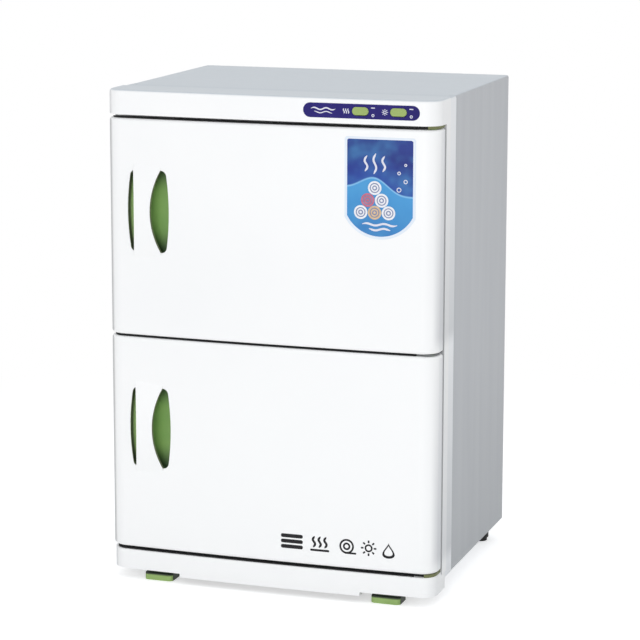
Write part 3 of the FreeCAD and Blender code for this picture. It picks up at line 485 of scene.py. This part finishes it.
lamp_cap_metal = mottled("lamp_cap_metal", (0.78, 0.79, 0.80), (0.66, 0.67, 0.69), 0.25, patch=200,
                         metallic=1.0)
cap_radius = 0.0083
cap_length = 0.009
cap_inset = 0.0106
for level in ("upper", "lower"):
    low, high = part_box(level + "_uv_lamp")
    middle = (low + high) / 2
    caps = []
    for x in (low.x + cap_inset, high.x - cap_inset):
        start_piece()
        bpy.ops.mesh.primitive_cylinder_add(vertices=40, radius=cap_radius, depth=cap_length,
                                            end_fill_type="NOTHING", location=(x, middle.y, middle.z),
                                            rotation=(0, math.pi / 2, 0))
        cap = bpy.context.object
        shaped(cap, "SOLIDIFY", thickness=0.0003, offset=-1)
        shaped(cap, "BEVEL", width=0.0001, segments=2)
        caps.append(cap)
    finish_piece(join_pieces(caps), level + "_lamp_caps", "cabinet", lamp_cap_metal)


# Racks: chromed round wire bent into a frame, with ten thinner wires welded across it. Towels lie on them
# and each slides out on the liner's ledges.
rack_chrome = mottled("rack_chrome", (0.86, 0.87, 0.88), (0.78, 0.79, 0.81), 0.08, patch=90, grain=260,
                      depth=0.00002, change=0.06, metallic=1.0)
corner_bend = 0.010
cross_wires = 10
cross_wire_radius = 0.0014
for level in ("upper", "lower"):
    low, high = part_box(level + "_rack")
    middle = (low + high) / 2
    thick = high.z - low.z
    wide = high.x - low.x - thick
    deep = high.y - low.y - thick
    start_piece()
    bpy.ops.mesh.primitive_plane_add(size=1, location=middle)
    hoop = bpy.context.object
    hoop.scale = (wide, deep, 1)
    apply_placing()
    bpy.ops.object.mode_set(mode="EDIT")
    bpy.ops.mesh.select_all(action="SELECT")
    bpy.ops.mesh.bevel(offset=corner_bend, segments=8, affect="VERTICES")
    bpy.ops.mesh.select_all(action="SELECT")
    bpy.ops.mesh.delete(type="ONLY_FACE")
    bpy.ops.object.mode_set(mode="OBJECT")
    bpy.ops.object.convert(target="CURVE")
    hoop = bpy.context.object
    hoop.data.bevel_depth = thick / 2
    hoop.data.bevel_resolution = 4
    bpy.ops.object.convert(target="MESH")
    hoop = bpy.context.object
    start_piece()
    pitch = (high.x - low.x) / (cross_wires + 1)
    bpy.ops.mesh.primitive_cylinder_add(vertices=14, radius=cross_wire_radius, depth=deep,
                                        location=(low.x + pitch, middle.y, middle.z),
                                        rotation=(math.pi / 2, 0, 0))
    wires = bpy.context.object
    apply_placing()
    shaped(wires, "ARRAY", count=cross_wires, use_relative_offset=False, use_constant_offset=True,
           constant_offset_displace=(pitch, 0, 0))
    rack = finish_piece(join_pieces([hoop, wires]), level + "_wire_rack", level + "_rack_body", rack_chrome,
                        smooth=50)
    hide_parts(level + "_rack")


# Doors: white inner panels with a dished middle, a soft grey seal round the chamber mouth, and bushes of
# green plastic for the hinge pins.
panel_plastic = mottled("panel_plastic", (0.86, 0.865, 0.87), (0.83, 0.835, 0.845), 0.36, patch=7)
paint(panel_plastic, "upper_door_inner", "lower_door_inner")
seal_rubber = mottled("seal_rubber", (0.42, 0.43, 0.45), (0.36, 0.37, 0.39), 0.7, patch=50, grain=600,
                      depth=0.0001)
paint(seal_rubber, "upper_door_seal", "lower_door_seal")
green_plastic = mottled("green_plastic", (0.235, 0.44, 0.10), (0.20, 0.39, 0.085), 0.3, patch=25, grain=800,
                        depth=0.00003)
paint(green_plastic, "upper_door_bushes", "lower_door_bushes")


# Grip cups: scooped green inserts fixed behind the grip openings. Painted shade deepens the tone towards both
# ends and makes the wall by the free edge nearly black at its mouth, and painted light makes that wall pale.
cup_green = mottled("cup_green", (0.235, 0.42, 0.112), (0.20, 0.38, 0.096), 0.36, patch=25, grain=800,
                    depth=0.00003)
cup_tree = cup_green.node_tree
shaded_ends = (0.022, 0.056)
lit_length = (0.060, 0.030)
free_wall = (-0.186, -0.1905)
wall_mouth = (-0.163, -0.171)
heights = []
for level in ("upper", "lower"):
    low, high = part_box(level + "_grip_cup")
    above = worked(cup_tree, "SUBTRACT", part_of(cup_tree, "Object", "Z"), (low.z + high.z) / 2)
    heights.append(worked(cup_tree, "ABSOLUTE", above))
from_middle = worked(cup_tree, "MINIMUM", *heights)
overlay(cup_green, rising(cup_tree, from_middle, *shaded_ends), (0.040, 0.080, 0.032))
free_side = rising_along(cup_tree, "Object", "X", *free_wall)
lit_wall = meeting(cup_tree, free_side, rising(cup_tree, from_middle, *lit_length))
overlay(cup_green, lit_wall, (0.66, 0.85, 0.44))
mouth_shade = meeting(cup_tree, free_side, rising_along(cup_tree, "Object", "Y", *wall_mouth))
overlay(cup_green, mouth_shade, (0.045, 0.055, 0.034))
paint(cup_green, "upper_grip_cup", "lower_grip_cup")


# Hinge plates: dull green ears at the corners of the end plates, on plates painted black further in as the
# shade in the gap. The thin plate between the doors is grey.
hinge_green = mottled("hinge_green", (0.20, 0.215, 0.10), (0.16, 0.175, 0.08), 0.45, patch=30, grain=700,
                      depth=0.00004, sheen=0.2)
inside_ear = (0.2100, 0.2085)
plate_gap_shade = rising_along(hinge_green.node_tree, "Object", "X", *inside_ear)
overlay(hinge_green, plate_gap_shade, (0.006, 0.006, 0.006))
paint(hinge_green, "upper_hinge_plate", "lower_hinge_plate")
hinge_grey = mottled("hinge_grey", (0.24, 0.245, 0.255), (0.19, 0.195, 0.205), 0.5, patch=40)
paint(hinge_grey, "middle_hinge_plate")


# Gap shade: flat black sheets that stand in for the shade along the top of the plinth and of both doors, just
# behind the rounded edge. Each is cut to the bow of the front, goes round the free corner and stops short of
# the hinge.
gap_shade_sheet = mottled("gap_shade_sheet", (0.010, 0.010, 0.011), (0.018, 0.018, 0.019), 0.9, patch=120, grain=420,
                     depth=0.0002)
strip_set_back = 0.0045
strip_width = 0.0135
strip_thickness = 0.0011
strip_lift = 0.00005
frame_low, frame_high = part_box("front_frame")
plate_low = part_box("lower_hinge_plate")[0]
bow = 5.065
bow_centre_y = frame_low.y + bow
corner = 0.022
corner_x = frame_high.x - corner
hinge_x = plate_low.x - 0.0003


def front_place(along, inset):
    # A place on the front's plan: 0 is round the free corner and 1 is near the hinge
    turn = 0.07
    strip_end = math.radians(-80)
    touch = -math.asin(corner_x / (bow - corner))
    if along >= turn:
        angle = touch + (along - turn) / (1 - turn) * (math.asin(hinge_x / bow) - touch)
        return math.sin(angle) * (bow - inset), bow_centre_y - math.cos(angle) * (bow - inset)
    angle = touch + (1 - along / turn) * (strip_end - touch)
    x = math.sin(touch) * (bow - corner) + math.sin(angle) * (corner - inset)
    y = bow_centre_y - math.cos(touch) * (bow - corner) - math.cos(angle) * (corner - inset)
    return x, y


for name, base, body in (
    ("plinth_gap_shade", plate_low.z, "cabinet"),
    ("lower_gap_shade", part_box("lower_door_shell")[1].z, "lower_door"),
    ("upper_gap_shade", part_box("upper_door_shell")[1].z, "upper_door"),
):
    start_piece()
    bpy.ops.mesh.primitive_grid_add(x_subdivisions=90, y_subdivisions=2, size=1, location=(0, 0, 0))
    strip = bpy.context.object
    for vertex in strip.data.vertices:
        x, y = front_place(vertex.co.x + 0.5, strip_set_back + (vertex.co.y + 0.5) * strip_width)
        vertex.co = (x, y, base + strip_lift)
    shaped(strip, "SOLIDIFY", thickness=strip_thickness, offset=1)
    finish_piece(strip, name, body, gap_shade_sheet)


# Feet: moulded green pads at the front, with painted shade in black on their tops and ends, and black rubber
# posts at the rear. The front pair is fixed under the plinth and the rear pair under the base pan.
pale_green = mottled("pale_green", (0.33, 0.49, 0.16), (0.28, 0.43, 0.13), 0.5, patch=45, grain=600,
                     depth=0.00008)
foot_tree = pale_green.node_tree
pad_top = (0.0062, 0.0085)
foot_top_shade = rising_along(foot_tree, "Object", "Z", *pad_top)
foot_end_shade = rising(foot_tree, worked(foot_tree, "ABSOLUTE", part_of(foot_tree, "Normal", "X")), 0.86, 1.0)
overlay(pale_green, worked(foot_tree, "MAXIMUM", foot_top_shade, foot_end_shade), (0.02, 0.032, 0.014))
paint(pale_green, "left_front_foot", "right_front_foot")
black_rubber = mottled("black_rubber", (0.012, 0.012, 0.012), (0.022, 0.022, 0.022), 0.75, patch=80,
                       grain=500, depth=0.00015)
paint(black_rubber, "left_rear_foot", "right_rear_foot")


# Control strip: an indigo film plate with two waves printed in white at its left end, and two pale green
# rockers. Beside each rocker stand small signs: on and off at the right, steam or a lamp at the left.
indigo_film = mottled("indigo_film", (0.021, 0.015, 0.160), (0.016, 0.011, 0.132), 0.45, patch=30, sheen=0.15)
paint(indigo_film, "control_label")
rocker_green = mottled("rocker_green", (0.32, 0.43, 0.125), (0.295, 0.40, 0.11), 0.36, patch=60)
rocker_edge = rising_along(rocker_green.node_tree, "Normal", "Y", -0.97, -0.75)
overlay(rocker_green, rocker_edge, (0.62, 0.74, 0.38))
paint(rocker_green, "left_switch_rocker", "right_switch_rocker")


def print_on(node, marks, name, body, finish, proud, film):
    # Joins flat marks into one print, wraps it on the bowed front of a node and gives it its film thickness
    sheet = join_pieces(marks)
    pick_only(sheet)
    apply_placing()
    shaped(sheet, "SHRINKWRAP", target=nodes[node], wrap_method="PROJECT", use_project_y=True,
           use_negative_direction=False, use_positive_direction=True, offset=proud)
    shaped(sheet, "SOLIDIFY", thickness=film, offset=-1)
    finish_piece(sheet, name, body, finish)


def flat_bar(x, y, z, wide, tall, corner):
    # An upright plate with its four corners rounded off
    start_piece()
    bpy.ops.mesh.primitive_grid_add(x_subdivisions=8, y_subdivisions=2, size=1, location=(x, y, z),
                                    rotation=(math.pi / 2, 0, 0))
    bar = bpy.context.object
    bar.scale = (wide, tall, 1)
    apply_placing()
    bpy.ops.object.mode_set(mode="EDIT")
    bpy.ops.mesh.select_mode(type="VERT")
    bpy.ops.mesh.select_all(action="DESELECT")
    mesh = bmesh.from_edit_mesh(bar.data)
    for vertex in mesh.verts:
        from_side = abs(abs(vertex.co.x - x) - wide / 2)
        from_end = abs(abs(vertex.co.z - z) - tall / 2)
        vertex.select_set(max(from_side, from_end) < 1e-6)
    bmesh.update_edit_mesh(bar.data)
    bpy.ops.mesh.bevel(offset=corner, segments=4, affect="VERTICES")
    bpy.ops.object.mode_set(mode="OBJECT")
    return bar


def flat_ring(x, y, z, outer, inner, steps=40):
    # A disc, with its middle taken out where it has an inner radius
    start_piece()
    bpy.ops.mesh.primitive_circle_add(vertices=steps, radius=outer, fill_type="NGON", location=(x, y, z),
                                      rotation=(math.pi / 2, 0, 0))
    ring = bpy.context.object
    apply_placing()
    if inner:
        bpy.ops.object.mode_set(mode="EDIT")
        bpy.ops.mesh.select_mode(type="FACE")
        bpy.ops.mesh.select_all(action="SELECT")
        bpy.ops.mesh.inset(thickness=outer - inner)
        bpy.ops.mesh.delete(type="FACE")
        bpy.ops.object.mode_set(mode="OBJECT")
    return ring


def ribbon(x, y, z, long, stroke, swing, waves, upright=True):
    # A grid drawn out into a gently swinging line with tapered ends
    start_piece()
    bpy.ops.mesh.primitive_grid_add(x_subdivisions=48, y_subdivisions=1, size=1, location=(0, 0, 0))
    line = bpy.context.object
    turns = waves * 2 * math.pi
    tip = 0.3
    taper = 5.0
    for vertex in line.data.vertices:
        along = vertex.co.x
        half = vertex.co.y * stroke * min(1.0, tip + taper * (0.5 - abs(along)))
        lean = math.atan(swing * turns / long * math.cos(along * turns))
        far = along * long - half * math.sin(lean)
        aside = swing * math.sin(along * turns) + half * math.cos(lean)
        if upright:
            vertex.co = (x - aside, y, z + far)
        else:
            vertex.co = (x + far, y, z + aside)
    return line


def turned(piece, x, z, degrees):
    turn = Matrix.Translation((x, 0, z)) @ Matrix.Rotation(math.radians(degrees), 4, "Y")
    piece.data.transform(turn @ Matrix.Translation((-x, 0, -z)))
    return piece


def lamp_sign(x, y, z, radius, stroke):
    # A ring with short rays round it
    rays = 8
    ring = radius * 0.52
    sign = [flat_ring(x, y, z, ring, ring - stroke)]
    for step in range(rays):
        ray = flat_bar(x, y, z + radius * 0.84, stroke, radius * 0.34, stroke * 0.45)
        sign.append(turned(ray, x, z, 360 / rays * step))
    return sign


print_white = mottled("print_white", (0.74, 0.74, 0.82), (0.68, 0.68, 0.78), 0.5, patch=200)
label_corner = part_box("control_label")[0]
ahead = label_corner.y - 0.01
ink = 0.00008
for side in ("left", "right"):
    low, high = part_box(side + "_switch_rocker")
    x = (low.x + high.x) / 2
    z = (low.z + high.z) / 2
    on_off_x = x + 0.0165
    marks = [
        flat_bar(on_off_x, ahead, z + 0.0048, 0.0052, 0.0012, 0.0005),
        flat_ring(on_off_x, ahead, z - 0.0046, 0.0019, 0.0010, steps=24),
    ]
    if side == "left":
        for step in (-1, 0, 1):
            marks.append(ribbon(x - 0.0185 + step * 0.0029, ahead, z, 0.0064, 0.0013, 0.0006, 1.0))
    else:
        marks.extend(lamp_sign(x - 0.0175, ahead, z, 0.0040, 0.0009))
    print_on("control_label", marks, side + "_switch_signs", "cabinet", print_white,
             proud=ink, film=ink)
drift_x = label_corner.x + 0.0265
drift = []
for rise, long, stroke, swing, waves in ((0.0113, 0.032, 0.0017, 0.0012, 2.0),
                                         (0.0069, 0.024, 0.0012, 0.0010, 1.5)):
    drift.append(ribbon(drift_x, ahead, label_corner.z + rise, long, stroke, swing, waves, upright=False))
print_on("control_label", drift, "label_waves", "cabinet", print_white, proud=ink, film=ink)


# Sticker on the upper door: a printed vinyl tab with a pale border, deep blue above a lighter blue swell,
# with a heap of rolled towels over two waves, steam and a row of bubbles printed on it.
def sticker_print():
    tab_sides = (0.104, 0.196)
    tab_heights = (0.478, 0.607)
    finish, shader = new_finish("sticker_print", (0.10, 0.28, 0.72), 0.35, sheen=0.2)
    tree = finish.node_tree
    across = rising_along(tree, "Object", "X", *tab_sides)
    up = rising(tree, part_of(tree, "Object", "Z"), *tab_heights, curve="LINEAR")
    swell = worked(tree, "SINE", worked(tree, "MULTIPLY", across, 4.6))
    bands = tree.nodes.new("ShaderNodeValToRGB")
    ramp = bands.color_ramp
    ramp.interpolation = "EASE"
    stops = [(0.0, (0.04, 0.20, 0.50)), (0.25, (0.05, 0.26, 0.58)), (0.50, (0.065, 0.31, 0.64)),
             (0.515, (0.24, 0.52, 0.80)), (0.53, (0.020, 0.065, 0.33)), (0.70, (0.015, 0.040, 0.26)),
             (0.84, (0.012, 0.024, 0.20)), (1.0, (0.018, 0.04, 0.24))]
    for element, (position, colour) in zip(ramp.elements, (stops[0], stops[-1])):
        element.position = position
        element.color = (*colour, 1)
    for position, colour in stops[1:-1]:
        ramp.elements.new(position).color = (*colour, 1)
    tree.links.new(worked(tree, "SUBTRACT", up, worked(tree, "MULTIPLY", swell, 0.09)), bands.inputs["Fac"])
    place = tree.nodes.new("ShaderNodeTexCoord")
    clouds = tree.nodes.new("ShaderNodeTexNoise")
    clouds.inputs["Scale"].default_value = 28
    tree.links.new(place.outputs["Object"], clouds.inputs["Vector"])
    haze = worked(tree, "MULTIPLY", rising(tree, clouds.outputs["Fac"], 0.42, 0.75), 0.40)
    tree.links.new(mixed(tree, haze, bands.outputs["Color"], (0.09, 0.36, 0.66)), shader.inputs["Base Color"])
    return finish


def tab_shape(centre_x, top, wide, tall, round_top, depth):
    # A flat tab with straight sides, slightly rounded upper corners and a shallow bowl-shaped lower end
    cuts = 48
    start_piece()
    bpy.ops.mesh.primitive_grid_add(x_subdivisions=cuts, y_subdivisions=cuts, size=1,
                                    location=(centre_x, depth, top - tall / 2), rotation=(math.pi / 2, 0, 0))
    tab = bpy.context.object
    tab.scale = (wide, tall, 1)
    apply_placing()
    half = wide / 2
    sag = 0.30 * wide
    bowl_radius = (half ** 2 + sag ** 2) / (2 * sag)
    for vertex in tab.data.vertices:
        across = min(1.0, abs(vertex.co.x - centre_x) / half)
        level = (vertex.co.z - (top - tall)) / tall
        bowl = bowl_radius - math.sqrt(bowl_radius ** 2 - (across * half) ** 2)
        into_corner = max(0.0, across * half - half + round_top)
        drop = round_top - math.sqrt(max(0.0, round_top ** 2 - into_corner ** 2))
        low_z = top - tall + bowl
        vertex.co.z = low_z + (top - drop - low_z) * level
    return tab


def print_on_upper_door(marks, name, finish, proud, film=0.0001):
    print_on("upper_door_shell", marks, name, "upper_door", finish, proud, film)


vinyl_white = mottled("vinyl_white", (0.76, 0.82, 0.90), (0.72, 0.79, 0.88), 0.35, patch=30)
tab_x = 0.1497
front_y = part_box("upper_door_shell")[0].y - 0.01
backing = tab_shape(tab_x, 0.6075, 0.0925, 0.1295, 0.003, front_y)
print_on_upper_door([backing], "sticker_backing", vinyl_white, 0.0003, film=0.0002)
picture = tab_shape(tab_x, 0.6045, 0.0856, 0.1228, 0.0015, front_y)
print_on_upper_door([picture], "sticker_print", sticker_print(), 0.00045, film=0.0002)

roll = 0.0088
roll_step = roll * 2.06
row_step = roll * 1.78
heap_x = 0.1430
heap_z = 0.5120
rolls = {"white": [], "rose": [], "sand": []}
folds = []
for row, tones in enumerate((("white", "sand", "white"), ("rose", "white"), ("white",))):
    for step, tone in enumerate(tones):
        x = heap_x + (step - (len(tones) - 1) / 2) * roll_step
        z = heap_z + row * row_step
        rolls[tone].append(flat_ring(x, front_y, z, roll, 0))
        folds.append(flat_ring(x, front_y, z, roll * 0.72, roll * 0.58))
        folds.append(flat_ring(x, front_y, z, roll * 0.36, roll * 0.20, steps=28))
for tone, colour, second in (
    ("white", (0.86, 0.86, 0.88), (0.76, 0.77, 0.82)),
    ("rose", (0.58, 0.17, 0.25), (0.48, 0.12, 0.20)),
    ("sand", (0.70, 0.50, 0.30), (0.62, 0.43, 0.25)),
):
    towel_ink = mottled("towel_" + tone, colour, second, 0.6, patch=260)
    print_on_upper_door(rolls[tone], "sticker_" + tone + "_rolls", towel_ink, 0.0006)
fold_ink = mottled("fold_ink", (0.20, 0.24, 0.42), (0.16, 0.20, 0.36), 0.6, patch=260)
print_on_upper_door(folds, "sticker_folds", fold_ink, 0.0007)

steam_z = 0.5740
bubbles_x = 0.1745
bubbles_z = 0.5420
wisps = []
for step, tall in ((-1, 0.020), (0, 0.026), (1, 0.020)):
    wisps.append(ribbon(heap_x + step * 0.0115, front_y, steam_z, tall, 0.0026, 0.0018, 1.25))
for step in range(4):
    x = bubbles_x + (step % 2) * 0.0085
    z = bubbles_z + step * 0.0105
    smaller = step * 0.0004
    wisps.append(flat_ring(x, front_y, z, 0.0031 - smaller, 0.0020 - smaller, steps=24))
for z, long, waves in ((0.4970, 0.0460, 2.0), (0.4908, 0.0280, 1.25)):
    wisps.append(ribbon(tab_x, front_y, z, long, 0.0026, 0.0012, waves, upright=False))
print_on_upper_door(wisps, "sticker_steam", print_white, 0.0006)


# Signs on the lower door, printed in near-black: folded towels, steam over a tray, a rolled towel seen from
# its end, a lamp and a drop of water.
print_charcoal = mottled("print_charcoal", (0.014, 0.013, 0.015), (0.024, 0.023, 0.025), 0.55, patch=150,
                         sheen=0.15)
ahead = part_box("lower_door_shell")[0].y - 0.01
line_z = 0.0745
foot_z = line_z - 0.0088
stack_x = 0.0335
steam_x = 0.0715
towel_x = 0.1080
lamp_x = 0.1375
drop_x = 0.1640
signs = []
for step in (-1, 0, 1):
    signs.append(flat_bar(stack_x, ahead, line_z + step * 0.0072, 0.0300, 0.0050, 0.0022))
for step in (-1, 0, 1):
    signs.append(ribbon(steam_x + step * 0.0078, ahead, line_z + 0.0022, 0.0150, 0.0030, 0.0015, 1.25))
signs.append(flat_bar(steam_x, ahead, foot_z, 0.0260, 0.0028, 0.0013))
signs.append(flat_ring(towel_x, ahead, line_z, 0.0098, 0.0074))
signs.append(flat_ring(towel_x, ahead, line_z, 0.0050, 0.0026))
signs.append(flat_bar(towel_x + 0.0050, ahead, foot_z, 0.0160, 0.0024, 0.0011))
signs.extend(lamp_sign(lamp_x, ahead, line_z, 0.0102, 0.0022))
drop = flat_ring(drop_x, ahead, line_z, 0.0082, 0.0056)
for vertex in drop.data.vertices:
    reach = math.hypot(vertex.co.x - drop_x, vertex.co.z - line_z)
    out = (vertex.co.x - drop_x) / reach
    up = (vertex.co.z - line_z) / reach
    vertex.co.x = drop_x + 0.77 * reach * (1 - up) * out
    vertex.co.z = line_z - 0.0012 + 1.25 * reach * up
signs.append(drop)
print_on("lower_door_shell", signs, "lower_door_signs", "lower_door", print_charcoal,
         proud=0.0002, film=0.00012)


# Screws: cross-recessed pan heads of plated steel. Ten go through the rear lips of the case into the back
# panel, and six up into the base pan.
def pan_head():
    radius = 0.0032
    height = 0.0014
    start_piece()
    bpy.ops.mesh.primitive_cylinder_add(vertices=32, radius=radius, depth=height, location=(0, 0, height / 2))
    head = bpy.context.object
    bpy.ops.object.mode_set(mode="EDIT")
    bpy.ops.mesh.select_mode(type="FACE")
    bpy.ops.mesh.select_all(action="DESELECT")
    mesh = bmesh.from_edit_mesh(head.data)
    for face in mesh.faces:
        face.select_set(face.normal.z > 0.9)
    bmesh.update_edit_mesh(head.data)
    bpy.ops.mesh.inset(thickness=radius * 0.35, depth=0.0003)
    bpy.ops.object.mode_set(mode="OBJECT")
    shaped(head, "BEVEL", width=0.0004, segments=3, angle_limit=math.radians(30))
    for turn in (0, math.pi / 2):
        start_piece()
        bpy.ops.mesh.primitive_cube_add(size=1, location=(0, 0, 0.0018), rotation=(0, 0, turn))
        blade = bpy.context.object
        blade.scale = (radius * 1.15, radius * 0.26, 0.0020)
        apply_placing()
        pick_only(head)
        shaped(head, "BOOLEAN", object=blade, operation="DIFFERENCE", solver="EXACT")
        bpy.data.objects.remove(blade)
    return head


def screwed_in(head, place, direction):
    # A copy of the head that faces the given way at its place
    screw = head.copy()
    screw.data = head.data.copy()
    bpy.context.scene.collection.objects.link(screw)
    facing = Vector(direction).to_track_quat("Z", "Y").to_matrix().to_4x4()
    screw.data.transform(Matrix.Translation(place) @ facing)
    return screw


screw_steel = mottled("screw_steel", (0.60, 0.61, 0.63), (0.48, 0.49, 0.51), 0.3, patch=300, metallic=1.0)
case_low, case_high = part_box("case_wrap")
lip = 0.005
head = pan_head()
screws = []
for z in (case_low.z + 0.03, case_low.z + 0.23, case_low.z + 0.43, case_high.z - 0.03):
    for x in (case_low.x + lip, case_high.x - lip):
        screws.append(screwed_in(head, (x, case_high.y, z), (0, 1, 0)))
for x in (-0.11, 0.11):
    screws.append(screwed_in(head, (x, case_high.y, case_high.z - lip), (0, 1, 0)))
for x in (-0.20, 0.0, 0.20):
    for y in (case_low.y + 0.02, case_high.y - 0.06):
        screws.append(screwed_in(head, (x, y, case_low.z), (0, 0, -1)))
bpy.data.objects.remove(head)
finish_piece(join_pieces(screws), "case_screws", "cabinet", screw_steel)
